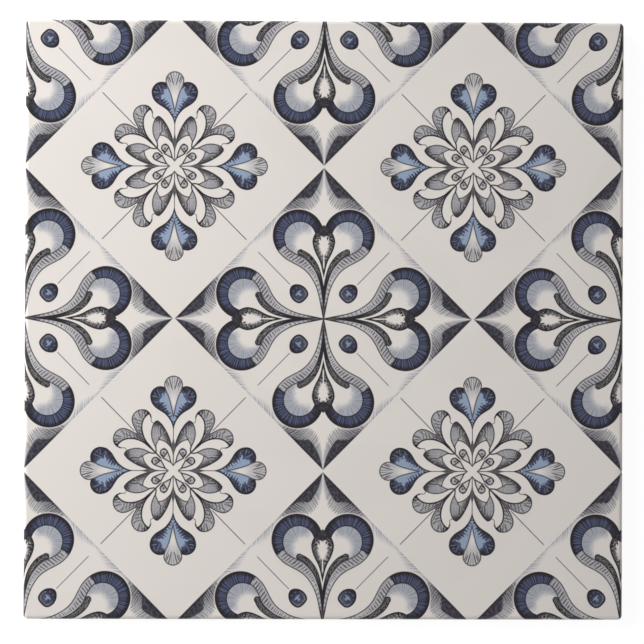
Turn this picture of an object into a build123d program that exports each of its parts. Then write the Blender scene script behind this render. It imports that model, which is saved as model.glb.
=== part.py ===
"""Glazed ceramic wall tile, dry-pressed and fired in one piece.

The tile lies on its back. The origin is the centre of the bedding plane, the plane that the ribs of
the back stand on, and +Z points to the glazed face. All sizes are in millimetres.
"""

import os

from build123d import *

# Driving dimensions of the face and the edges
tile_side = 152.4  # nominal 6 in square
tile_thickness = 6.4  # bedding plane to glazed face
corner_radius = 1.2  # of the outline, seen from the front
cushion_radius = 1.1  # rounding from the glazed face into the sides
back_bevel = 0.8  # chamfer that clears mortar from the back edge

# Driving dimensions of the keyed back, a waffle of shallow pockets between ribs
key_count = 7  # pockets along each side
key_rib = 5.0  # rib between two pockets, at the bedding plane
key_border = 9.0  # plain border round the pockets
key_depth = 0.9
key_draft = 35.0  # degrees that a pocket's wall leans outwards, so that the tile leaves its punch
key_corner = 2.0  # corner of a pocket's mouth
key_arris = 0.35  # softened edge of the ribs

# What follows from them
key_field = tile_side - 2 * key_border
key_mouth = (key_field - (key_count - 1) * key_rib) / key_count
key_pitch = key_mouth + key_rib

with BuildPart() as tile:
    # The pressed blank, with its outline's rounded corners
    with BuildSketch(Plane.XY):
        RectangleRounded(tile_side, tile_side, corner_radius)
    extrude(amount=tile_thickness)

    # The cushion edge round the face, and the bevel round the back
    fillet(tile.faces().sort_by(Axis.Z)[-1].edges(), radius=cushion_radius)
    chamfer(tile.faces().sort_by(Axis.Z)[0].edges(), length=back_bevel)

    # The pockets of the back, narrowing towards their floors
    with BuildSketch(Plane.XY):
        with GridLocations(key_pitch, key_pitch, key_count, key_count):
            RectangleRounded(key_mouth, key_mouth, key_corner)
    extrude(amount=key_depth, taper=key_draft, mode=Mode.SUBTRACT)

    # The ribs' edges, rounded as clay is by the punch and the fire
    bedding_face = tile.faces().sort_by(Axis.Z)[0]
    pocket_mouths = [edge for mouth in bedding_face.inner_wires() for edge in mouth.edges()]
    fillet(pocket_mouths, radius=key_arris)

tile.part.label = "tile"

os.makedirs("parts", exist_ok=True)
export_step(tile.part, "parts/tile.step")
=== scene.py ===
"""Blue and white glazed wall tile: the fired piece with its painted glaze, on a plain pale stage.

The tile is one closed surface worked out with numpy. Its ornament is shader arithmetic: the plane of
the face is folded into one small triangle, an eighth of a repeat, and each motif is painted there once.
"""

import math

import bpy
import mathutils
import numpy as np
from bpy.props import FloatProperty, FloatVectorProperty, IntProperty, PointerProperty
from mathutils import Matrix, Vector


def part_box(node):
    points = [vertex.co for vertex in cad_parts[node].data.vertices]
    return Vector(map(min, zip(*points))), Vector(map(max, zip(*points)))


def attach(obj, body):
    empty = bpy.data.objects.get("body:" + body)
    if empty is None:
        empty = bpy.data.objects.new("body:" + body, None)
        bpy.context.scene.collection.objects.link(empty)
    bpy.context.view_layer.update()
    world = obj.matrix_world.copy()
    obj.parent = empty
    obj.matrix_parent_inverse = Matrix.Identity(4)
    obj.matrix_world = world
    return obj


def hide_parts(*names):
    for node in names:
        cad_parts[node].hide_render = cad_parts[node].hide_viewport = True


bl_info = {
    "name": "Blue and white wall tile",
    "version": (1, 0, 0),
    "blender": (4, 5, 0),
    "location": "View3D > Sidebar > Tile",
    "description": "Makes a glazed wall tile with a painted ornament, and a plain stage for it",
    "category": "Add Mesh",
}

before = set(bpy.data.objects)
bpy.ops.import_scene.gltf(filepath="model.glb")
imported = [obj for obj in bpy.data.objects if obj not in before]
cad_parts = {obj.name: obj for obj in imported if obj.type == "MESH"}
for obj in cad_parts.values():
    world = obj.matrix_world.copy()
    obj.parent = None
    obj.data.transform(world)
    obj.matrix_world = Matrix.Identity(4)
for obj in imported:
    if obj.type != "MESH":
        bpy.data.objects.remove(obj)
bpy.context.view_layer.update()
TILE_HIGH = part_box("tile")[1]
TILE_HALF = TILE_HIGH[0]
TILE_THICKNESS = TILE_HIGH[2]

MM = 0.001
HALF_REPEAT = 38.1  # half a repeat of the ornament, in the ornament's millimetres
EDGE_SOFTNESS = 0.22  # how far an ink edge bleeds into the glaze, in millimetres
STROKE_SPREAD = 1.85  # width of the ellipse round a brush stroke against the stroke's own
ORNAMENT_SHIFT = (0.253, -0.285)  # the print's place on the face, in the ornament's millimetres
ORNAMENT_STRETCH = (0.9971, 1.0145)  # the print's width and height against the nominal repeat
PRINT_FADE = (0.8 * MM, 1.4 * MM)  # the ornament gives way to plain glaze this far below the face
GLAZE_LINE = 2.4 * MM  # height where the glaze ends on the sides, on average
GLAZE_LINE_BLUR = 0.3 * MM
DRIP_SIZE = 5 * MM
DRIP_REACH = 3 * MM
GRIT_SIZE = 0.35 * MM
GRIT_SHADE = 0.55  # colour of the grit against the clay's
GRIT_HEIGHT = 0.15 * MM
GRIT_STRENGTH = 0.35
STAIN_SIZE = 9 * MM
STAIN_SHADE = 0.86  # colour of the stains against the clay's
GLAZE_ROUGHNESS = 0.12
CLAY_ROUGHNESS = 0.8
CORNER_STEPS = 3  # mesh steps in half a corner of the outline
ARRIS_STEPS = 5  # mesh points along a rounded edge of a pocket
CUSHION_STEPS = 8  # mesh steps in the rounding from face to side
SHARP_EDGE = math.radians(32)
BAKE_WIDE = (0.01, 0.83)  # the face's share of the bake map
BAKE_NARROW = (0.85, 0.99)  # the share beside it for the back, and above it for the sides
BAKE_GAP = 0.008
FLOOR_SIDES = 64
FLOOR_GAP = 0.02 * MM  # keeps the floor clear of the ribs that stand on it


def length_field(name, description, size):
    """A length in the sidebar."""
    return FloatProperty(name=name, description=description, default=size, unit="LENGTH")


def colour_field(name, description, colour):
    """A colour in the sidebar."""
    return FloatVectorProperty(name=name, description=description, subtype="COLOR", size=3, default=colour)


class TileSizes(bpy.types.PropertyGroup):
    """The tile's own small sizes; its side and thickness come from the frame"""

    corner_radius: length_field("Corner radius", "Rounding of the outline, seen from the front", 1.2 * MM)
    cushion_radius: length_field("Cushion radius", "Rounding from the glazed face into the sides", 1.1 * MM)
    back_bevel: length_field("Back bevel", "Chamfer round the back", 0.8 * MM)
    key_count: IntProperty(
        name="Pockets", description="Pockets along each side of the keyed back", default=7, min=1
    )
    key_rib: length_field("Rib", "Rib between two pockets of the back", 5.0 * MM)
    key_border: length_field("Border", "Plain border round the pockets of the back", 9.0 * MM)
    key_depth: length_field("Pocket depth", "Depth of the pockets of the back", 0.9 * MM)
    key_draft: FloatProperty(
        name="Pocket draft",
        description="Lean of a pocket's wall",
        default=math.radians(35),
        subtype="ANGLE",
    )
    key_corner: length_field("Pocket corner", "Corner radius of a pocket's mouth", 2.0 * MM)
    key_arris: length_field("Rib arris", "Softened edge of the ribs", 0.35 * MM)
    glaze_wave: length_field("Glaze wave", "Height of the slow waves in the fired glaze", 0.02 * MM)


class TileColours(bpy.types.PropertyGroup):
    """The glaze, the inks under it and the bare clay"""

    ground: colour_field("Ground", "White glaze", (0.716, 0.668, 0.634))
    black: colour_field("Black", "Outlines", (0.024, 0.021, 0.025))
    charcoal: colour_field("Charcoal", "Fine hatching", (0.12, 0.113, 0.128))
    grey: colour_field("Grey", "Stems and petals", (0.37, 0.36, 0.385))
    silver: colour_field("Silver", "Palest grey wash", (0.52, 0.51, 0.515))
    navy: colour_field("Navy", "Darkest blue", (0.024, 0.026, 0.048))
    cobalt: colour_field("Cobalt", "Middle blue", (0.095, 0.11, 0.185))
    sky: colour_field("Sky", "Light blue", (0.27, 0.34, 0.46))
    mist: colour_field("Mist", "Pale blue wash", (0.42, 0.435, 0.49))
    clay: colour_field("Clay", "Bare fired clay", (0.62, 0.52, 0.41))


class StageSettings(bpy.types.PropertyGroup):
    """The plain stage: floor, lamps, sky and camera"""

    floor_radius: length_field("Floor radius", "Radius of the pale floor", 8.0)
    floor_colour: colour_field("Floor", "Colour of the floor", (0.8, 0.8, 0.8))
    floor_glow: FloatProperty(
        name="Floor glow", description="Brightness that the camera sees on the floor", default=1.22, min=0
    )
    floor_share: FloatProperty(
        name="Glow share",
        description="Share of the glow against the lit floor, which keeps the shadow",
        default=0.75,
        subtype="FACTOR",
        min=0,
        max=1,
    )
    lamp_place: FloatVectorProperty(
        name="Lamps", description="Place of both lamps", subtype="XYZ", size=3,
        default=(-0.42, 0.206, 0.317), unit="LENGTH",
    )
    lamp_size: length_field("Lamp size", "Side of the lamp that lights the tile", 0.35)
    lamp_power: FloatProperty(
        name="Lamp power", description="Power of that lamp", default=3.83, unit="POWER", min=0
    )
    sheen_size: length_field("Sheen size", "Side of the lamp that shows in the glaze", 0.5)
    sheen_power: FloatProperty(
        name="Sheen power", description="Power of that lamp", default=1.0, unit="POWER", min=0
    )
    sky_low: FloatProperty(name="Sky low", description="Brightness at the horizon", default=1.0, min=0)
    sky_high: FloatProperty(name="Sky high", description="Brightness overhead", default=0.17, min=0)
    camera_place: FloatVectorProperty(
        name="Camera", description="Place of the camera", subtype="XYZ", size=3,
        default=(-0.00501, -0.00166, 0.37007), unit="LENGTH",
    )
    camera_turn: FloatVectorProperty(
        name="Camera turn", description="Turn of the camera", subtype="EULER", size=3,
        default=(math.radians(0.182), math.radians(-0.689), math.radians(0.233)),
    )
    camera_lens: FloatProperty(name="Lens", description="Focal length in millimetres", default=80.0, min=1)


class Term:
    """A socket of a material's nodes that takes part in Python arithmetic; each operation adds a node."""

    def __init__(self, socket):
        self.socket = socket

    def node(self, kind, settings, sockets, output=0):
        """Adds a node beside this socket: its type, its settings, and what its sockets get."""
        return add_node(self.socket.id_data, kind, settings, sockets, output)

    def math(self, operation, *values):
        return self.node("Math", {"operation": operation}, dict(enumerate(values)))

    def __add__(self, other):
        return self.math("ADD", self, other)

    def __radd__(self, other):
        return self.math("ADD", other, self)

    def __sub__(self, other):
        return self.math("SUBTRACT", self, other)

    def __rsub__(self, other):
        return self.math("SUBTRACT", other, self)

    def __mul__(self, other):
        return self.math("MULTIPLY", self, other)

    def __or__(self, other):
        return self.math("MAXIMUM", self, other)

    def __and__(self, other):
        return self.math("MINIMUM", self, other)

    def __abs__(self):
        return self.math("ABSOLUTE", self)

    def __neg__(self):
        return self.math("MULTIPLY", self, -1.0)


def add_node(tree, kind, settings, sockets, output=0):
    """Adds a node of the given type, sets or links its sockets, and gives one output as a Term."""
    made = tree.nodes.new("ShaderNode" + kind)
    for name, value in settings.items():
        if name == "points":
            set_curve(made.mapping, value)
        else:
            setattr(made, name, value)
    for name, value in sockets.items():
        if isinstance(value, Term):
            tree.links.new(value.socket, made.inputs[name])
        else:
            made.inputs[name].default_value = value
    return Term(made.outputs[output]) if output is not None else made


def set_curve(mapping, points):
    """Puts the given points on a float curve, in the units of the piece."""
    mapping.use_clip = False
    mapping.extend = "HORIZONTAL"
    curve = mapping.curves[0]
    while len(curve.points) > 2:
        curve.points.remove(curve.points[1])
    curve.points[0].location = points[0]
    curve.points[1].location = points[-1]
    for point in points[1:-1]:
        curve.points.new(*point)
    mapping.update()


def ramp(value, start, end):
    """A smooth step of a value, 0 at start and 1 at end; start may be the higher one."""
    settings = {"interpolation_type": "SMOOTHSTEP", "clamp": False}
    return value.node("MapRange", settings, {"Value": value, "From Min": start, "From Max": end})


def inside(distance, edge=0.0, soft=EDGE_SOFTNESS):
    """1 where a distance is under the edge, 0 beyond it, with a soft change."""
    return ramp(distance, edge + soft / 2, edge - soft / 2)


def line(distance, width, soft=EDGE_SOFTNESS):
    """1 along a curve of zero distance, over the given width."""
    return inside(abs(distance), width / 2, soft)


def reach(place, centre):
    """Distance of the place from a centre."""
    return place.node("VectorMath", {"operation": "DISTANCE"}, {0: place, 1: (*centre, 0.0)}, "Value")


def lean(place, direction):
    """How far the place lies in a direction, from the origin."""
    return place.node("VectorMath", {"operation": "DOT_PRODUCT"}, {0: place, 1: (*direction, 0.0)}, "Value")


def curve(value, points):
    """A free curve through the given points."""
    return value.node("FloatCurve", {"points": points}, {"Value": value})


def graph(x, y, points):
    """Signed distance from the curve y = f(x) through points: the height over it times its slope's cosine."""
    across, up = np.array(points).T
    cosine = 1 / np.hypot(1, np.gradient(up, across))
    return (y - curve(x, points)) * curve(x, list(zip(across.tolist(), cosine.tolist())))


def swell(place, start, end, width):
    """A brush stroke, 1 between its ends and falling outwards: 0 on an ellipse with the ends as its foci."""
    length = math.dist(start, end)
    rim = math.hypot(length, STROKE_SPREAD * width)
    around = reach(place, start) + reach(place, end)
    return place.math("MULTIPLY_ADD", around, 1 / (length - rim), rim / (rim - length))


def strokes(place, ends, width):
    """Several brush strokes of one width in one mask, squared so that they fade outwards."""
    mask = swell(place, *ends[0], width)
    for start, end in ends[1:]:
        mask = mask | swell(place, start, end, width)
    mask = mask | 0.0
    return mask * mask


def bars(place, ends, width, soft=EDGE_SOFTNESS):
    """Straight lines of even width with round ends: the distance from the nearest point of each run."""
    mask = None
    for start, end in ends:
        run = (end[0] - start[0], end[1] - start[1])
        first = start[0] * run[0] + start[1] * run[1]
        last = end[0] * run[0] + end[1] * run[1]
        span = {"Value": lean(place, run), "From Min": first, "From Max": last}
        share = place.node("MapRange", {"clamp": False}, span)
        ends_mix = {0: share, 4: (*start, 0.0), 5: (*end, 0.0)}
        nearest = place.node("Mix", {"data_type": "VECTOR"}, ends_mix, 1)
        apart = place.node("VectorMath", {"operation": "DISTANCE"}, {0: place, 1: nearest}, "Value")
        bar = inside(apart, width / 2, soft)
        mask = bar if mask is None else mask | bar
    return mask


def paint(canvas, colour, mask):
    """Lays a colour over the canvas where the mask is 1."""
    shade = colour if isinstance(colour, Term) else (*colour, 1.0)
    return canvas.node("Mix", {"data_type": "RGBA"}, {0: mask, 6: canvas, 7: shade}, 2)


def speckle(place, size, detail=2.0):
    """Noise from 0 to 1 with spots of the given size, in the units of the place."""
    sockets = {"Vector": place, "Scale": 1 / size, "Detail": detail, "Roughness": 0.6}
    return place.node("TexNoise", {}, sockets, 0)


def hatch(value, pitch, low, high):
    """Irregular hand-drawn lines across a value: one-way noise of the given pitch, where it is high."""
    sockets = {"W": value, "Scale": 1 / pitch, "Detail": 1.0}
    return ramp(value.node("TexNoise", {"noise_dimensions": "1D"}, sockets), low, high)


def turn(place, centre, facing):
    """Angle of the place about a centre, from the facing direction, in radians."""
    away = place.node("VectorMath", {"operation": "SUBTRACT"}, {0: place, 1: (*centre, 0.0)})
    ahead = (math.cos(facing), math.sin(facing))
    aside = (-ahead[1], ahead[0])
    return away.math("ARCTAN2", lean(away, aside), lean(away, ahead))


# The motifs round the dark centre, at (u, v) millimetres from it, with u along the arm

DIAGONAL = (math.sqrt(0.5), math.sqrt(0.5))
ANTIDIAGONAL = (math.sqrt(0.5), -math.sqrt(0.5))
EDGE_DEPTH = HALF_REPEAT * math.sqrt(0.5)  # from a dark centre to the edge of its diamond
RING_OUTER = (20.9, 6.5)
RING_OUTER_RADIUS = 6.5
RING_INNER = (20.35, 6.05)
RING_INNER_RADIUS = 3.95
RING_FACING = math.radians(22.5)
RING_HALF_TURN = math.radians(95.5)
STEM_TOP = (
    (0, 0.12), (4, 0.92), (6, 1.35), (8, 2.0), (10, 3.05), (11, 3.75), (12, 4.7), (13, 6.1), (14, 8.0),
    (15, 9.75), (16, 10.9), (17, 11.75), (19, 12.7),
)
STEM_LOW = (
    (0, 0.0), (4, 0.3), (6, 0.55), (8, 0.87), (10, 1.42), (12, 2.27), (13, 2.95), (14, 3.8), (15, 4.85),
    (15.8, 6.0), (16.4, 7.2), (17, 8.3), (18, 9.4), (19, 9.95),
)
LEAF_LOW = (
    (0, -0.4), (7, -0.25), (8.5, 0.02), (10, 0.3), (12, 0.82), (13, 1.2), (14, 1.7), (15, 2.4), (16, 3.3),
    (16.8, 4.4), (17.4, 5.8), (18, 7.4),
)


def beside_edge(place):
    """How far a place lies along a diamond's edge and inwards from it, and a mask that keeps off the ring."""
    along = lean(place, ANTIDIAGONAL)
    depth = EDGE_DEPTH - lean(place, DIAGONAL)
    clear = ramp(reach(place, RING_OUTER), RING_OUTER_RADIUS, RING_OUTER_RADIUS + 0.5)
    return along, depth, clear * ramp(depth, 0.05, 0.35)


def corner_wedge(canvas, place, v, inks, grain):
    """The dark wedge and its hatched grey feathering along a diamond's edge, up to the vertex."""
    along, depth, clear = beside_edge(place)
    feather_edge = (
        (12.0, 1.5), (14.0, 3.2), (15.5, 4.3), (16.7, 5.1), (17.9, 5.5), (19.0, 5.4), (20.2, 5.1),
        (21.5, 4.7), (22.9, 4.1), (24.5, 2.9), (26.3, 1.1),
    )
    steep = hatch(lean(place, (0.85, -0.53)) + grain * 0.5, 0.26, 0.4, 0.56)
    slant = hatch(lean(place, (0.57, -0.82)) + grain * 0.4, 0.3, 0.45, 0.6)
    lower = ramp(v, 5.0, 3.6)
    lines = steep + (slant - steep) * lower
    reaching = graph(along, depth, feather_edge) - lines * ramp(along, 23.0, 20.0) * 0.6
    feather = inside(reaching, -0.6, 0.8) * clear * ramp(along, 10.5, 13.0)
    canvas = paint(canvas, inks.silver, feather)
    canvas = paint(canvas, inks.grey, feather * (ramp(depth, 4.4, 1.8) | ramp(along, 21.0, 25.0) * 0.4))
    strength = 0.62 + ramp(depth, 3.6, 1.5) * 0.24
    canvas = paint(canvas, inks.black, feather * lines * ramp(along, 24.0, 21.0) * strength)
    wedge_edge = (
        (11.0, 0.3), (14.0, 0.5), (15.5, 0.6), (16.7, 0.9), (17.6, 1.6), (18.4, 2.4), (18.9, 3.0),
        (19.7, 3.05), (20.9, 2.85), (22.0, 2.55), (23.2, 2.15), (24.2, 1.7), (25.1, 1.2), (26.0, 0.65),
        (26.9, 0.1),
    )
    inked = graph(along, depth, wedge_edge) - lines * ramp(along, 19.5, 17.0) * 0.5
    wedge = inside(inked, 0.0, 0.4) * clear * ramp(along, 9.0, 17.0)
    canvas = paint(canvas, inks.black, wedge)
    canvas = paint(canvas, inks.cobalt, wedge * ramp(depth, 0.3, 0.9) * 0.1)
    return paint(canvas, inks.charcoal, wedge * ramp(grain, 0.35, 0.7) * ramp(depth, 0.3, 0.9) * 0.5)


def edge_fringe(canvas, place, v, inks):
    """The pale blue fringe along the middle of a diamond's edge: a thin line, and barbs along the arm."""
    along, depth, clear = beside_edge(place)
    width = curve(along, (
        (0.0, 0.9), (1.5, 1.4), (3.0, 2.0), (5.0, 2.6), (6.5, 2.7), (8.0, 2.2), (10.0, 1.3), (13.0, 0.7),
    ))
    middle = clear * ramp(along, 13.5, 11.5)
    barb = hatch(v + lean(place, (0.1, 0.0)), 0.36, 0.42, 0.58)
    wash = ramp(depth, width, 0.2)
    strong = ramp(along, 0.0, 5.5)
    canvas = paint(canvas, inks.mist, middle * wash * (0.3 + barb * 0.6 + strong * 0.1))
    canvas = paint(canvas, inks.charcoal, middle * wash * barb * strong * 0.22)
    return paint(canvas, inks.charcoal, line(depth - 0.3, 0.2, 0.3) * middle * (0.15 + barb * 0.3))


def wash_crescent(canvas, place, v, inks, grain):
    """The pale blue wash inside a ring: the ring's hole less a soft disc, with fine radial lines."""
    rays = hatch(turn(place, RING_INNER, RING_FACING), 0.075, 0.46, 0.64)
    away = reach(place, (18.8, 4.5)) + (grain - 0.5) * 0.8 + rays * 0.5
    hole = inside(reach(place, RING_INNER), RING_INNER_RADIUS) * ramp(v, 2.6, 4.4)
    canvas = paint(canvas, inks.silver, hole * ramp(away, 2.3, 3.4))
    canvas = paint(canvas, inks.mist, hole * ramp(away, 2.8, 4.4))
    return paint(canvas, inks.charcoal, hole * (rays * 0.5 + 0.1) * ramp(away, 3.0, 4.6))


def scroll_stem(canvas, place, u, v, inks, grain):
    """The ribbed grey stem that swells towards the ring; its ribs are a wave along a bent ruler."""
    top = graph(u, v, STEM_TOP)
    low = graph(u, v, STEM_LOW)
    stem = inside(top | -low) * ramp(u, 18.8, 18.3)
    canvas = paint(canvas, inks.silver, stem)
    shade = ramp(u, 9.0, 15.0) | ramp(low, 0.7, 0.2) * 0.7
    canvas = paint(canvas, inks.grey, stem * shade * (0.3 + grain))
    rib = curve(lean(place, (1.0, 0.75)), (
        (2.5, 0.0), (3.8, 1.0), (5.2, 2.0), (6.9, 3.0), (8.5, 4.0), (10.2, 5.0), (11.7, 6.0), (12.55, 7.0),
        (13.5, 8.0), (14.3, 9.0), (15.3, 10.0), (16.6, 11.0), (17.7, 12.0), (19.1, 13.0), (20.3, 14.0),
        (21.7, 15.0), (22.8, 16.0), (24.0, 17.0), (25.2, 18.0),
    ))
    wave = rib.math("COSINE", rib * (2.5 * math.pi) + grain * 3.0)
    across = ramp(low, 0.1, 0.4) * ramp(top + grain * 1.6, 0.4, -0.1)
    ribs = ramp(wave, 0.05, 0.75) * (across | ramp(u, 9.5, 8.0) * 0.6)
    canvas = paint(canvas, inks.black, stem * ribs * 0.84)
    canvas = paint(canvas, inks.black, line(top + 0.12, 0.28) * ramp(u, 18.6, 17.6) * 0.92)
    canvas = paint(canvas, inks.black, stem * ramp(u, 5.0, 2.5) * 0.95)
    inner_rim = line(low - 0.1, 0.36) * ramp(u, 14.5, 16.0) * ramp(u, 18.9, 18.5)
    return paint(canvas, inks.black, inner_rim * 0.85)


def scroll_ring(canvas, place, inks, grain):
    """The blue ring that the stem curls into: two circles, striped across, black towards the outside."""
    outer = reach(place, RING_OUTER) - RING_OUTER_RADIUS
    inner = RING_INNER_RADIUS - reach(place, RING_INNER)
    angle = turn(place, RING_INNER, RING_FACING)
    span = inside(abs(angle), RING_HALF_TURN, 0.05)
    ring = inside(outer | inner) * span
    stripe = hatch(angle + grain * 0.05, 0.058, 0.36, 0.66)
    canvas = paint(canvas, inks.navy, ring)
    canvas = paint(canvas, inks.cobalt, ring * stripe * (0.6 + grain))
    canvas = paint(canvas, inks.black, ring * ramp(outer - stripe * 0.5 + grain * 0.8, -1.35, -0.35))
    canvas = paint(canvas, inks.black, ring * ramp(lean(place, (0.0, 1.0)) + grain * 2.0, 4.8, 2.6) * 0.8)
    canvas = paint(canvas, inks.black, line(inner + 0.16, 0.26) * span * 0.9)
    join = (((17.1, 11.8), (17.6, 10.9)), ((17.5, 11.05), (18.2, 10.75)), ((18.1, 10.95), (18.6, 9.75)))
    return paint(canvas, inks.black, strokes(place, join, 0.5) * inside(outer | inner) * 0.9)


def inner_leaf(canvas, place, u, v, inks, grain):
    """The stippled leaf along the inside of a stem, with its rounded tip."""
    low = graph(u, v, LEAF_LOW)
    blade = graph(u, v, STEM_LOW) | -low | v - 6.0
    shape = blade & (reach(place, (16.62, 5.9)) - 0.85)
    leaf = inside(shape)
    canvas = paint(canvas, inks.black, leaf)
    lines = hatch(low + grain * 1.6, 0.25, 0.45, 0.62)
    light = lines * ramp(u, 9.0, 13.0) * ramp(shape, -0.15, -0.45)
    return paint(canvas, inks.silver, light * leaf * 0.38)


def axis_bud(canvas, place, u, v, inks, grain):
    """The teardrop bud on the arm's axis: a white core with rays into a dark border, and a dark end."""
    edge = graph(u, v, (
        (10.3, 0.0), (11, 0.16), (12, 0.36), (13, 0.58), (14, 0.88), (15, 1.3), (16, 1.84), (17, 2.3),
        (18, 2.65), (19, 2.85), (19.5, 2.88), (20.2, 2.75), (21, 2.45), (21.5, 2.15), (22, 1.6), (23.2, 0.2),
    )) | 10.3 - u
    rays = hatch(turn(place, (17.6, 0.0), 0.0) + 7.0, 0.14, 0.4, 0.62)
    core = graph(u, v, (
        (14.8, -0.3), (15.6, 0.1), (16.3, 0.45), (17.0, 0.75), (17.9, 1.0), (18.8, 1.1), (19.4, 1.05),
        (19.9, 0.8), (20.4, 0.4), (20.9, 0.0), (21.4, -0.7), (22.0, -1.3),
    )) - rays * 0.55
    bud = inside(edge) * inside(u, 22.5)
    canvas = paint(canvas, inks.black, bud)
    fine = hatch(lean(place, (0.9, 0.45)) + grain * 1.4, 0.27, 0.44, 0.62)
    canvas = paint(canvas, inks.silver, bud * ramp(u, 12.8, 15.0) * fine * ramp(core, 2.0, 0.3) * 0.5)
    canvas = paint(canvas, inks.ground, bud * inside(core, -0.1, 0.3))
    canvas = paint(canvas, inks.black, bud * (ramp(u, 13.6, 12.0) | ramp(edge, -0.5, -0.2)))
    end = graph(u, v, (
        (18.5, -2.5), (20.4, -0.6), (20.9, 0.2), (21.3, 0.8), (21.8, 1.3), (22.2, 1.3), (22.8, 0.8),
        (23.2, 0.1), (23.6, -0.9), (24.0, -1.5),
    )) - rays * 0.25
    canvas = paint(canvas, inks.black, inside(end, 0.1, 0.3))
    return paint(canvas, inks.charcoal, inside(end, -0.2, 0.5) * fine * 0.5)


def quarter_dot(canvas, place, inks, grain):
    """The mottled dot between two arms, its rim a curve in polar form, and the hairline beyond it."""
    angle = abs(turn(place, (6.3, 6.3), math.radians(45)))
    rim = curve(angle, (
        (0.0, 2.69), (0.34, 2.55), (0.58, 2.4), (0.97, 2.24), (1.46, 2.17), (1.94, 2.24), (2.31, 2.38),
        (2.57, 2.37), (2.87, 2.24), (3.14, 2.19),
    ))
    shape = reach(place, (6.3, 6.3)) - rim
    dot = inside(shape)
    ahead = lean(place, DIAGONAL)
    canvas = paint(canvas, inks.cobalt, dot)
    canvas = paint(canvas, inks.navy, dot * ramp(grain, 0.6, 0.4) * 0.6)
    canvas = paint(canvas, inks.grey, dot * ramp(grain, 0.5, 0.64) * 0.3)
    canvas = paint(canvas, inks.grey, dot * ramp(ahead, 9.4, 8.0) * ramp(shape, -1.3, -0.6) * 0.32)
    circle = line(reach(place, (6.2, 6.2)) - 1.2, 0.6, 1.0)
    canvas = paint(canvas, inks.navy, dot * circle * ramp(grain, 0.3, 0.6))
    canvas = paint(canvas, inks.navy, dot * ramp(ahead, 9.4, 10.2) * 0.8)
    core = (((5.75, 7.1), (7.1, 5.75)), ((5.8, 5.8), (6.6, 6.6)))
    canvas = paint(canvas, inks.sky, strokes(place, core, 0.5) * (1.3 - grain))
    canvas = paint(canvas, inks.navy, inside(reach(place, (6.68, 5.75)), 0.22, 0.3) * 0.9)
    canvas = paint(canvas, inks.grey, inside(reach(place, (7.7, 6.95)), 0.15, 0.5) * 0.3)
    canvas = paint(canvas, inks.black, dot * (ramp(shape, -0.6, -0.25) | ramp(ahead, 10.4, 11.2)))
    hair = line(lean(place, ANTIDIAGONAL), 0.22, 0.2) * ramp(ahead, 11.9, 12.3) * ramp(ahead, 23.9, 23.3)
    return paint(canvas, inks.charcoal, hair * 0.95)


def quatrefoil(canvas, place, u, v, inks, grain):
    """Everything in the dark diamond, from the washes up to the outlines."""
    canvas = corner_wedge(canvas, place, v, inks, grain)
    canvas = edge_fringe(canvas, place, v, inks)
    canvas = wash_crescent(canvas, place, v, inks, grain)
    canvas = scroll_stem(canvas, place, u, v, inks, grain)
    canvas = scroll_ring(canvas, place, inks, grain)
    canvas = inner_leaf(canvas, place, u, v, inks, grain)
    canvas = axis_bud(canvas, place, u, v, inks, grain)
    return quarter_dot(canvas, place, inks, grain)


# The motifs round the light centre, at (a, b) millimetres from it, with a along a palmette's axis

LOBE_LOW = (
    (10.8, -0.3), (13.0, -0.1), (14.5, 0.25), (16, 0.57), (17, 0.8), (18, 1.1), (19, 1.5), (20, 2.0),
    (20.7, 2.2), (21.5, 2.28),
)


def palmette(canvas, place, a, b, inks, grain):
    """One lobe of the heart-shaped palmette: a light blue flame with dark comb teeth, in a dark lobe."""
    top = graph(a, b, (
        (10.6, 0.08), (12, 0.52), (13, 1.1), (14, 1.95), (14.6, 2.75), (15, 3.4), (15.5, 4.2), (16, 4.8),
        (17, 5.55), (18.4, 5.9), (20, 5.9),
    ))
    past = ramp(a, 18.3, 18.5)
    edge = top * (1 - past) + (reach(place, (18.5, 3.3)) - 2.6) * past
    shape = edge | -graph(a, b, LOBE_LOW) | 10.6 - a
    lobe = inside(shape)
    canvas = paint(canvas, inks.navy, lobe)
    tooth = lean(place, (0.85, 0.52)) * (2 * math.pi / 0.74) + 5.1
    comb = tooth.math("COSINE", tooth) * ramp(a, 17.6, 16.4)
    flame = graph(a, b, (
        (10.6, 0.1), (12, 0.4), (13, 0.6), (14, 0.95), (15, 1.4), (16, 2.0), (16.7, 2.6), (17.1, 3.1),
        (17.4, 3.8), (17.75, 3.1), (18.3, 2.95), (19.0, 2.7), (19.4, 2.2), (19.8, 1.5), (20.5, 0.9),
    )) + comb * 0.42 + (grain - 0.5) * 2.2
    canvas = paint(canvas, inks.charcoal, lobe * ramp(grain, 0.4, 0.66) * 0.4)
    halo = inside(flame, 0.5, 0.9) | ramp(grain, 0.5, 0.66) * 0.35
    canvas = paint(canvas, inks.cobalt, lobe * halo * 0.7)
    canvas = paint(canvas, inks.sky, lobe * inside(flame, 0.0, 0.35))
    canvas = paint(canvas, inks.cobalt, lobe * line(a - 13.5, 0.6, 1.6) * ramp(b, 0.8, 0.0) * 0.6)
    glints = (
        ((18.35, 3.9), (18.7, 5.5)), ((18.2, 3.3), (20.4, 4.2)), ((16.9, 4.0), (17.4, 5.0)),
        ((19.1, 4.4), (19.5, 5.0)),
    )
    canvas = paint(canvas, inks.sky, strokes(place, glints, 0.22) * lobe * 0.42)
    canvas = paint(canvas, inks.black, lobe * ramp(edge + grain * 0.4, -0.4, 0.05) * 0.95)
    return paint(canvas, inks.black, lobe * inside(reach(place, (20.4, 2.4)), 0.4, 0.7) * 0.9)


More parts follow.
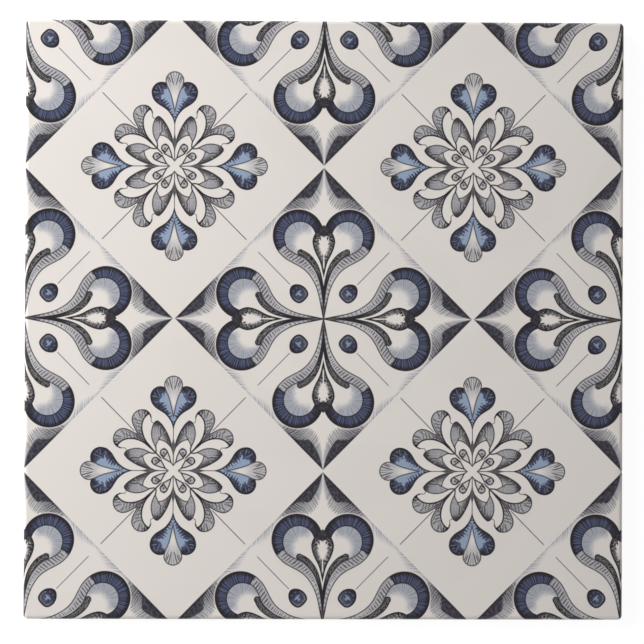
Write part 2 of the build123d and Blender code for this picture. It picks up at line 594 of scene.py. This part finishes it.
def palmette_bud(canvas, place, a, b, inks, grain):
    """The white bud between a palmette's two lobes, hatched from its end, and the stem that carries them."""
    low = graph(a, b, LOBE_LOW)
    past = ramp(a, 21.2, 21.6)
    shape = low * (1 - past) + (reach(place, (21.35, 0.0)) - 2.32) * past | 13.4 - a
    bud = inside(shape)
    canvas = paint(canvas, inks.ground, bud)
    canvas = paint(canvas, inks.mist, bud * ramp(a, 17.5, 14.5) * 0.8)
    canvas = paint(canvas, inks.silver, bud * ramp(a + b * 0.5, 16.5, 20.5) * 0.9)
    rays = hatch(turn(place, (17.0, 0.0), 0.0) + grain * 0.06 + 7.0, 0.075, 0.45, 0.62)
    canvas = paint(canvas, inks.charcoal, bud * rays * ramp(a + b * 0.6 - grain * 4.0, 16.5, 20.5) * 0.75)
    hairs = (((20.2, 0.3), (23.3, 1.15)), ((22.0, 0.8), (23.4, 1.2)), ((20.9, 1.0), (22.6, 1.7)))
    canvas = paint(canvas, inks.black, strokes(place, hairs, 0.3) * 0.9)
    canvas = paint(canvas, inks.black, line(shape + 0.05, 0.3) * ramp(a, 12.8, 13.6) * 0.88)
    width = curve(a, (
        (3.6, 0.13), (4.6, 0.28), (5.4, 0.56), (5.9, 0.64), (6.6, 0.44), (7.6, 0.17), (9.0, 0.11),
    ))
    stem = ramp(b, width + 0.1, width - 0.1) * ramp(a, 1.2, 1.8) * ramp(a, 11.6, 10.8)
    return paint(canvas, inks.black, stem * 0.9)


def outer_leaf(canvas, place, a, b, inks, grain):
    """One hatched scroll leaf with its curled hook, beside the diagonal."""
    top = graph(a, b, (
        (5.5, 5.6), (7.0, 7.4), (8.0, 8.4), (9.0, 9.1), (10, 9.62), (11, 10.15), (12, 10.52), (12.7, 10.62),
        (14, 10.62),
    ))
    low = graph(a, b, (
        (5.5, 5.2), (6, 5.75), (7, 6.55), (8, 7.15), (9, 7.57), (10, 7.8), (11, 7.88), (12, 7.75),
        (12.8, 7.45), (13.5, 6.95), (13.9, 6.5), (14.1, 6.0),
    ))
    past = ramp(a, 12.6, 12.8)
    edge = top * (1 - past) + (reach(place, (12.7, 8.0)) - 2.63) * past
    shape = edge | -low | 5.5 - a | 6.0 - b
    leaf = inside(shape)
    canvas = paint(canvas, inks.grey, leaf)
    canvas = paint(canvas, inks.silver, leaf * ramp(a, 8.5, 11.0) * 0.55)
    fine = hatch(lean(place, (0.45, -0.89)) + grain * 0.6, 0.25, 0.45, 0.6)
    canvas = paint(canvas, inks.charcoal, leaf * fine * 0.8)
    ticks = (
        ((9.8, 7.9), (10.1, 9.0)), ((10.7, 7.8), (11.2, 9.7)), ((11.6, 7.9), (12.0, 9.8)),
        ((12.5, 8.9), (13.2, 10.3)), ((13.0, 8.4), (15.2, 8.95)), ((13.4, 7.9), (15.3, 7.9)),
        ((12.3, 7.9), (12.6, 9.2)), ((9.0, 7.7), (9.4, 8.9)),
    )
    canvas = paint(canvas, inks.black, strokes(place, ticks, 0.3) * leaf * 0.72)
    canvas = paint(canvas, inks.black, leaf * ramp(a + b - fine * 4.0, 18.5, 13.0) * 0.9)
    rim = line(edge + 0.15, 0.27) * inside(-low) * ramp(a, 8.0, 9.5) * ramp(b, 6.2, 7.0)
    canvas = paint(canvas, inks.black, rim * 0.9)
    canvas = paint(canvas, inks.black, line(low - 0.16, 0.34) * inside(edge) * ramp(a, 5.5, 6.5))
    curl = reach(place, (12.85, 8.05)) - 2.4
    hook = line(curl, 0.36) * ramp(b, 7.9, 7.0) * ramp(a, 12.9, 13.5)
    barb = strokes(place, (((14.2, 7.3), (15.2, 7.2)),), 0.4)
    canvas = paint(canvas, inks.black, hook | barb)
    tendril = (((13.4, 5.68), (12.1, 5.68)), ((12.3, 5.75), (11.8, 4.95)))
    return paint(canvas, inks.black, strokes(place, tendril, 0.24) * 0.8)


def inner_petal(canvas, place, a, b, inks, grain):
    """One oval petal between the centre and a palmette: grey above its rib, dark below and at its end."""
    top = graph(a, b, (
        (5.8, 4.55), (7, 5.2), (8, 5.55), (9, 5.7), (10, 5.66), (11, 5.42), (11.65, 5.15), (12.2, 4.75),
        (12.45, 4.4), (12.6, 4.0),
    ))
    low = graph(a, b, (
        (4.6, 0.0), (6, 0.3), (7, 0.52), (8, 0.86), (9, 1.28), (10, 1.8), (11, 2.42), (11.65, 2.92),
        (12.2, 3.5), (12.45, 3.8), (12.6, 4.05),
    ))
    rib = graph(a, b, (
        (5.8, 4.6), (7, 4.15), (7.8, 3.72), (8.4, 3.42), (8.9, 3.15), (9.5, 3.25), (11, 3.35),
    ))
    hollow = a - curve(b, (
        (0.2, 4.8), (0.5, 5.6), (1.0, 6.25), (1.6, 6.85), (2.3, 7.35), (3.0, 7.65), (3.7, 7.75), (6, 7.75),
    ))
    past = ramp(a, 11.0, 11.4)
    shape = top | -low | (reach(place, (11.05, 4.05)) - 1.47) * past + (past - 1)
    petal = inside(shape)
    weft = hatch(b - grain * 0.3, 0.24, 0.44, 0.62)
    weave = hatch(lean(place, (0.94, 0.34)) + grain * 0.3, 0.24, 0.44, 0.62) + weft
    upper = petal * inside(-rib)
    canvas = paint(canvas, inks.grey, upper)
    canvas = paint(canvas, inks.silver, upper * ramp(a, 11.0, 8.5) * 0.4)
    lower = inside(shape | rib | -hollow)
    canvas = paint(canvas, inks.silver, lower)
    canvas = paint(canvas, inks.charcoal, (upper | lower) * weave * 0.36)
    shade = ramp(low + weave * 0.6, 2.4, 1.0) | ramp(a + weave * 0.3, 8.8, 9.4) * ramp(b, 3.3, 2.6) * 0.75
    canvas = paint(canvas, inks.black, lower * shade * 0.9)
    streaks = (((8.9, 2.9), (10.6, 2.84)), ((9.1, 2.55), (9.9, 1.9)), ((10.4, 3.55), (11.3, 3.15)))
    canvas = paint(canvas, inks.grey, strokes(place, streaks, 0.3) * 0.6)
    end = ramp(reach(place, (12.4, 3.8)) - weave * 0.6, 1.6, 0.6)
    canvas = paint(canvas, inks.black, end * petal * 0.9)
    vein = line(rib, 0.27) * inside(a, 10.4, 1.8) * ramp(a, 5.6, 6.0)
    canvas = paint(canvas, inks.black, vein * petal * 0.9)
    canvas = paint(canvas, inks.black, line(hollow, 0.3) * ramp(a, 4.6, 5.4) * inside(rib) * 0.9)
    rim = line(shape + 0.14, 0.27) * (ramp(a, 6.0, 7.0) | ramp(b, 3.0, 4.0))
    canvas = paint(canvas, inks.black, rim * petal * 0.92)
    return paint(canvas, inks.black, strokes(place, (((4.7, 4.2), (6.6, 4.7)),), 0.3) * 0.85)


def small_loop(canvas, place, inks):
    """The smallest loop near the centre: a wedge and a round end parted by a line, with a dark dot."""
    bulb = reach(place, (4.5, 2.4)) - 0.9
    right = lean(place, (0.58, 0.81))
    wedge = inside(lean(place, (0.3, -0.954)), 0.1) * inside(lean(place, (-0.88, 0.47)), -1.45)
    wedge = wedge * inside(right, 3.9)
    canvas = paint(canvas, inks.silver, inside(bulb) | wedge * 0.75)
    canvas = paint(canvas, inks.grey, inside(reach(place, (4.3, 2.45)), 0.7, 0.5))
    lines = (
        ((2.1, 0.7), (3.1, 2.55)), ((2.1, 0.62), (3.4, 0.92)), ((3.4, 0.92), (4.9, 1.55)),
        ((3.1, 2.6), (4.75, 1.5)),
    )
    canvas = paint(canvas, inks.black, bars(place, lines, 0.34, 0.2) * 0.95)
    canvas = paint(canvas, inks.black, line(bulb, 0.36) * ramp(right, 3.9, 4.3) * 0.95)
    spots = (((3.3, 2.65), (4.05, 2.95)), ((4.25, 2.4), (4.5, 2.5)), ((5.3, 1.95), (5.5, 2.6)))
    canvas = paint(canvas, inks.black, strokes(place, spots, 0.5))
    star = bars(place, (((1.3, 0.0), (2.15, 0.68)),), 0.34, 0.2)
    return paint(canvas, inks.black, star * 0.85)


def diagonal_stroke(canvas, a, b, inks):
    """The tapering stroke from the centre to a pair of leaves, and the hairline beyond them."""
    across = a - b
    along = a + b
    width = curve(along, (
        (5.6, 0.12), (6.6, 0.24), (9.0, 0.28), (11.0, 0.36), (12.5, 0.5), (14.0, 0.5), (16.0, 0.2),
    ))
    body = ramp(across, width + 0.15, width - 0.15) * ramp(along, 5.5, 6.3) * ramp(along, 16.0, 13.5)
    canvas = paint(canvas, inks.black, body * 0.95)
    hair = inside(across, 0.17) * ramp(along, 19.5, 20.2) * ramp(along, 37.0, 36.4)
    return paint(canvas, inks.charcoal, hair)


def rosette(canvas, place, a, b, inks, grain):
    """Everything in the light diamond."""
    canvas = palmette(canvas, place, a, b, inks, grain)
    canvas = palmette_bud(canvas, place, a, b, inks, grain)
    canvas = inner_petal(canvas, place, a, b, inks, grain)
    canvas = small_loop(canvas, place, inks)
    canvas = outer_leaf(canvas, place, a, b, inks, grain)
    return diagonal_stroke(canvas, a, b, inks)


def painted_glaze(tree, inks):
    """The ornament's colour: the face's plane is shifted, scaled to the repeat and folded, then painted."""
    plane = add_node(tree, "TexCoord", {}, {}, "Object")
    sockets = {
        "Vector": plane,
        "Location": (*ORNAMENT_SHIFT, 0.0),
        "Scale": (1000 / ORNAMENT_STRETCH[0], 1000 / ORNAMENT_STRETCH[1], 1.0),
    }
    drawn = add_node(tree, "Mapping", {}, sockets)
    x = add_node(tree, "SeparateXYZ", {}, {0: drawn}, 0)
    y = add_node(tree, "SeparateXYZ", {}, {0: drawn}, 1)
    across = x.math("PINGPONG", x, HALF_REPEAT)
    up = y.math("PINGPONG", y, HALF_REPEAT)
    u = across | up
    v = across & up
    place = u.node("CombineXYZ", {}, {0: u, 1: v})
    grain = speckle(drawn, 0.8, 1.0)
    ground = (*inks.ground, 1.0)
    canvas = place.node("Mix", {"data_type": "RGBA"}, {0: 0.0, 6: ground, 7: ground}, 2)
    canvas = quatrefoil(canvas, place, u, v, inks, grain)
    a = HALF_REPEAT - v
    b = HALF_REPEAT - u
    place = a.node("CombineXYZ", {}, {0: a, 1: b})
    return rosette(canvas, place, a, b, inks, grain)


def glazed_earthenware(inks):
    """The tile's one material: painted glaze on the face, which runs out down the sides into bare clay."""
    material = bpy.data.materials.new("glazed_earthenware")
    material.use_nodes = True
    tree = material.node_tree
    shader = tree.nodes["Principled BSDF"]
    canvas = painted_glaze(tree, inks)
    place = add_node(tree, "TexCoord", {}, {}, "Object")
    height = add_node(tree, "SeparateXYZ", {}, {0: place}, 2)
    plain = ramp(height, TILE_THICKNESS - PRINT_FADE[0], TILE_THICKNESS - PRINT_FADE[1])
    canvas = paint(canvas, inks.ground, plain)
    drips = speckle(place, DRIP_SIZE)
    grit = speckle(place, GRIT_SIZE, 3.0)
    ragged = height + (drips - 0.5) * DRIP_REACH
    bare = ramp(ragged, GLAZE_LINE + GLAZE_LINE_BLUR, GLAZE_LINE - GLAZE_LINE_BLUR)
    stain = ramp(speckle(place, STAIN_SIZE, 3.0), 0.3, 0.7)
    stained = (*[STAIN_SHADE * part for part in inks.clay], 1.0)
    clay = place.node("Mix", {"data_type": "RGBA"}, {0: stain, 6: stained, 7: (*inks.clay, 1.0)}, 2)
    clay = paint(clay, [GRIT_SHADE * part for part in inks.clay], ramp(grit, 0.55, 0.72) * 0.5)
    canvas = paint(canvas, clay, bare)
    tree.links.new(canvas.socket, shader.inputs["Base Color"])
    rough = GLAZE_ROUGHNESS + bare * (CLAY_ROUGHNESS - GLAZE_ROUGHNESS)
    tree.links.new(rough.socket, shader.inputs["Roughness"])
    sockets = {"Strength": GRIT_STRENGTH, "Distance": GRIT_HEIGHT, "Height": grit * bare}
    bump = place.node("Bump", {}, sockets)
    tree.links.new(bump.socket, shader.inputs["Normal"])
    return material


# The tile's surface


def pocket_profile(sizes):
    """A pocket's wall, its depth by the distance inwards from the mouth: two arcs and a lean between."""
    steep = math.radians(90) - sizes.key_draft
    run = sizes.key_depth / math.tan(steep)
    ease = sizes.key_arris * math.tan(steep / 2)
    angle = np.linspace(0, steep, ARRIS_STEPS)
    inwards = sizes.key_arris * np.sin(angle) - ease
    deep = sizes.key_arris * (1 - np.cos(angle))
    return np.append(inwards, run - inwards[::-1]), np.append(deep, sizes.key_depth - deep[::-1])


def pocket_centres(sizes):
    """Places of the pockets along one side, and half the width of a pocket's mouth."""
    field = 2 * (TILE_HALF - sizes.key_border)
    mouth = (field - (sizes.key_count - 1) * sizes.key_rib) / sizes.key_count
    number = np.arange(sizes.key_count) - (sizes.key_count - 1) / 2
    return number * (mouth + sizes.key_rib), mouth / 2


def back_height(x, y, sizes):
    """Height of the back: a pocket's depth by the distance inside the nearest mouth, a rounded square."""
    centres, half_mouth = pocket_centres(sizes)
    core = half_mouth - sizes.key_corner
    off_x = np.abs(x[..., None] - centres).min(-1) - core
    off_y = np.abs(y[..., None] - centres).min(-1) - core
    outside = np.hypot(np.maximum(off_x, 0), np.maximum(off_y, 0)) + np.minimum(np.maximum(off_x, off_y), 0)
    return np.interp(sizes.key_corner - outside, *pocket_profile(sizes))


def glaze_height(x, y, sizes):
    """Height of the face: flat, less slow waves of the fired glaze that die out towards the edge."""
    waves = np.sin(x * 95 + 1.3 * np.sin(y * 60)) + np.sin(y * 120 + 1.7 * np.sin(x * 45 + 0.8))
    near_edge = np.maximum(np.abs(x), np.abs(y)) / (TILE_HALF - sizes.cushion_radius)
    return TILE_THICKNESS - sizes.glaze_wave * (0.5 + 0.25 * waves) * (1 - near_edge**6)


def ruler(sizes):
    """Places of the mesh lines between the outline's corners: close together at the pockets' walls."""
    centres, half_mouth = pocket_centres(sizes)
    from_mouth = np.array([-0.3, -0.12, 0.0, 0.14, 0.3, 0.46, 0.68, 1.0, 1.4, 2.0, 4.5]) * MM
    walls = half_mouth - from_mouth
    lines = (centres[:, None] + np.append(walls, -walls)).ravel()
    ribs = (centres[1:] + centres[:-1]) / 2
    straight = TILE_HALF - sizes.corner_radius
    border = straight - np.array([0.0, 0.4, 0.8, 1.2, 3.0, 5.0, 6.5]) * MM
    return np.sort(np.concatenate([lines, ribs, centres, border, -border]))


def outline(inset, lines, sizes):
    """The outline moved inwards, anticlockwise from the lower left corner: four runs and four arcs."""
    radius = sizes.corner_radius - inset
    centre = TILE_HALF - sizes.corner_radius
    angle = np.linspace(0, math.radians(45), CORNER_STEPS + 1)[1:]
    arc = (centre + radius * np.sin(angle)) - 1j * (centre + radius * np.cos(angle))
    run = lines - 1j * (centre + radius)
    side = np.concatenate([-arc[::-1].conj(), run, arc])[:-1]
    return np.concatenate([side * 1j**quarter for quarter in range(4)])


def side_profile(sizes):
    """Insets and heights from the face's border to the back: a quarter arc, a flat band and a chamfer."""
    angle = np.linspace(0, math.radians(90), CUSHION_STEPS + 1)
    insets = sizes.cushion_radius * (1 - np.sin(angle))
    heights = TILE_THICKNESS - sizes.cushion_radius * (1 - np.cos(angle))
    band = np.linspace(TILE_THICKNESS - sizes.cushion_radius, sizes.back_bevel, 4)[1:]
    insets = np.concatenate([insets, np.zeros(3), [sizes.back_bevel]])
    return insets, np.concatenate([heights, band, [0.0]])


def sheet_points(border, lines, height, sizes):
    """A square sheet on the mesh lines with its rim on a ring of the side: points, numbers, rim and lines."""
    edge = border.real.max()
    even = np.linspace(lines[-CORNER_STEPS - 1], edge, 2 * CORNER_STEPS + 1)
    spaced = np.concatenate([-even[::-1], lines[CORNER_STEPS + 1:-CORNER_STEPS - 1], even])
    x, y = np.meshgrid(spaced, spaced)
    number = np.arange(x.size).reshape(x.shape)
    rim = np.concatenate([number[0, :-1], number[:-1, -1], number[-1, :0:-1], number[:0:-1, 0]])
    x.flat[rim] = border.real
    y.flat[rim] = border.imag
    return np.stack([x, y, height(x, y, sizes)], -1).reshape(-1, 3), number, rim, spaced


def quads(number):
    """Corner numbers of the quads between the rows and columns of a grid."""
    return np.stack([number[:-1, :-1], number[:-1, 1:], number[1:, 1:], number[1:, :-1]], -1).reshape(-1, 4)


def bake_places(columns, rows, across, up):
    """Places of a grid's quad corners in a rectangle of the bake map, spaced as columns and rows are."""
    columns = np.interp(columns, (columns[0], columns[-1]), across)
    rows = np.interp(rows, (rows[0], rows[-1]), up)
    places = np.stack(np.meshgrid(columns, rows), -1).reshape(-1, 2)
    return places[quads(np.arange(len(places)).reshape(len(rows), len(columns)))]


def tile_mesh(sizes):
    """The tile as one closed surface with its bake map: face, rings of the side and keyed back."""
    lines = ruler(sizes)
    insets, heights = side_profile(sizes)
    rings = [outline(inset, lines, sizes) for inset in insets]
    face, face_number, face_rim, face_lines = sheet_points(rings[0], lines, glaze_height, sizes)
    back, back_number, back_rim, back_lines = sheet_points(rings[-1], lines, back_height, sizes)
    levels = list(zip(rings, heights))[1:-1]
    belt = [np.stack([ring.real, ring.imag, 0 * ring.real + high], -1) for ring, high in levels]
    belt = np.concatenate(belt)
    points = np.concatenate([face, back, belt])
    belt_number = np.arange(len(belt)).reshape(len(rings) - 2, -1) + len(face) + len(back)
    belt_number = np.vstack([face_rim, belt_number, back_rim + len(face)])
    belt_number = np.hstack([belt_number, belt_number[:, :1]])
    corners = [quads(face_number), quads(back_number + len(face))[:, ::-1]]
    places = [
        bake_places(face_lines, face_lines, BAKE_WIDE, BAKE_WIDE),
        bake_places(back_lines, back_lines, BAKE_NARROW, BAKE_WIDE)[:, ::-1],
    ]
    run = len(rings[0]) // 4
    along_profile = np.cumsum(np.append(0, np.hypot(np.diff(insets), np.diff(heights))))
    strips = np.linspace(*BAKE_NARROW, 5)
    for side in range(4):
        corners.append(quads(belt_number[:, side * run:(side + 1) * run + 1])[:, ::-1])
        strip = (strips[side], strips[side + 1] - BAKE_GAP)
        places.append(bake_places(face_lines, along_profile, BAKE_WIDE, strip)[:, ::-1])
    mesh = bpy.data.meshes.new("glazed_tile")
    mesh.from_pydata(points, [], np.concatenate(corners))
    bake_map = mesh.uv_layers.new(name="OFBake")
    bake_map.data.foreach_set("uv", np.concatenate(places).ravel())
    mesh.shade_smooth()
    mesh.set_sharp_from_angle(angle=SHARP_EDGE)
    return mesh


def white_floor(settings):
    """Pale floor that keeps the tile's shadow and reads as white to the camera and in reflections."""
    material = bpy.data.materials.new("pale_floor")
    material.use_nodes = True
    tree = material.node_tree
    tree.nodes.clear()
    camera_ray = add_node(tree, "LightPath", {}, {}, "Is Camera Ray")
    source = camera_ray.socket.node
    seen = camera_ray | Term(source.outputs["Is Glossy Ray"]) | Term(source.outputs["Is Transmission Ray"])
    matt = add_node(tree, "BsdfDiffuse", {}, {"Color": (*settings.floor_colour, 1.0)})
    glow = add_node(tree, "Emission", {}, {"Strength": settings.floor_glow})
    mixed = add_node(tree, "MixShader", {}, {0: seen * settings.floor_share, 1: matt, 2: glow})
    add_node(tree, "OutputMaterial", {}, {"Surface": mixed}, None)
    return material


def soft_sky(settings):
    """World light, bright at the horizon and dim overhead: its strength follows the direction's height."""
    world = bpy.data.worlds.new("soft_sky")
    world.use_nodes = True
    tree = world.node_tree
    tree.nodes.clear()
    direction = add_node(tree, "TexCoord", {}, {}, "Generated")
    upward = add_node(tree, "SeparateXYZ", {}, {0: direction}, 2)
    level = settings.sky_low + ramp(upward, 0.0, 0.7) * (settings.sky_high - settings.sky_low)
    light = add_node(tree, "Background", {}, {"Color": (1.0, 1.0, 1.0, 1.0), "Strength": level})
    add_node(tree, "OutputWorld", {}, {"Surface": light}, None)
    return world


def square_lamp(scene, name, size, power, place):
    """A square lamp that faces the middle of the tile's face."""
    lamp = bpy.data.lights.new(name, "AREA")
    lamp.shape = "SQUARE"
    lamp.size = size
    lamp.energy = power
    lamp_object = bpy.data.objects.new(name, lamp)
    lamp_object.location = place
    aim = mathutils.Vector((0.0, 0.0, TILE_THICKNESS)) - lamp_object.location
    lamp_object.rotation_euler = aim.to_track_quat("-Z", "Y").to_euler()
    scene.collection.objects.link(lamp_object)
    return lamp_object


class TILE_OT_make_tile(bpy.types.Operator):
    """Makes the glazed tile in the place of its plain solid"""

    bl_idname = "tile.make_tile"
    bl_label = "Make tile"

    def execute(self, context):
        mesh = tile_mesh(context.scene.tile_sizes)
        mesh.materials.append(glazed_earthenware(context.scene.tile_colours))
        piece = bpy.data.objects.new("glazed_tile", mesh)
        context.scene.collection.objects.link(piece)
        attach(piece, "root")
        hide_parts("tile")
        return {"FINISHED"}


class TILE_OT_make_stage(bpy.types.Operator):
    """Makes the floor, the lamps, the sky and the camera"""

    bl_idname = "tile.make_stage"
    bl_label = "Make stage"

    def execute(self, context):
        scene = context.scene
        settings = scene.tile_stage
        angle = np.linspace(0, 2 * math.pi, FLOOR_SIDES, endpoint=False)
        rim = settings.floor_radius * np.stack([np.cos(angle), np.sin(angle), 0 * angle], -1)
        mesh = bpy.data.meshes.new("floor")
        mesh.from_pydata(rim, [], [range(FLOOR_SIDES)])
        mesh.materials.append(white_floor(settings))
        floor = bpy.data.objects.new("floor", mesh)
        floor.location.z = -FLOOR_GAP
        scene.collection.objects.link(floor)

        place = settings.lamp_place
        window = square_lamp(scene, "window_lamp", settings.lamp_size, settings.lamp_power, place)
        window.visible_glossy = False
        square_lamp(scene, "sheen_lamp", settings.sheen_size, settings.sheen_power, place)

        camera = bpy.data.cameras.new("photo_camera")
        camera.lens = settings.camera_lens
        camera_object = bpy.data.objects.new("photo_camera", camera)
        camera_object.location = settings.camera_place
        camera_object.rotation_euler = settings.camera_turn
        scene.collection.objects.link(camera_object)
        scene.camera = camera_object
        scene.world = soft_sky(settings)
        scene.view_settings.view_transform = "Standard"
        return {"FINISHED"}


class TILE_PT_sidebar(bpy.types.Panel):
    """The tile's sizes, colours and stage"""

    bl_label = "Wall tile"
    bl_idname = "TILE_PT_sidebar"
    bl_space_type = "VIEW_3D"
    bl_region_type = "UI"
    bl_category = "Tile"

    def draw(self, context):
        for heading, group, operator in (
            ("Sizes", context.scene.tile_sizes, None),
            ("Colours", context.scene.tile_colours, TILE_OT_make_tile.bl_idname),
            ("Stage", context.scene.tile_stage, TILE_OT_make_stage.bl_idname),
        ):
            box = self.layout.box()
            box.label(text=heading)
            for name in group.bl_rna.properties.keys():
                if name not in {"rna_type", "name"}:
                    box.prop(group, name)
            if operator:
                box.operator(operator)


CLASSES = (TileSizes, TileColours, StageSettings, TILE_OT_make_tile, TILE_OT_make_stage, TILE_PT_sidebar)


def register():
    for part in CLASSES:
        bpy.utils.register_class(part)
    bpy.types.Scene.tile_sizes = PointerProperty(type=TileSizes)
    bpy.types.Scene.tile_colours = PointerProperty(type=TileColours)
    bpy.types.Scene.tile_stage = PointerProperty(type=StageSettings)


def unregister():
    del bpy.types.Scene.tile_stage
    del bpy.types.Scene.tile_colours
    del bpy.types.Scene.tile_sizes
    for part in reversed(CLASSES):
        bpy.utils.unregister_class(part)


def main():
    register()
    bpy.ops.tile.make_tile()
    bpy.ops.tile.make_stage()


if __name__ == "__main__":
    main()
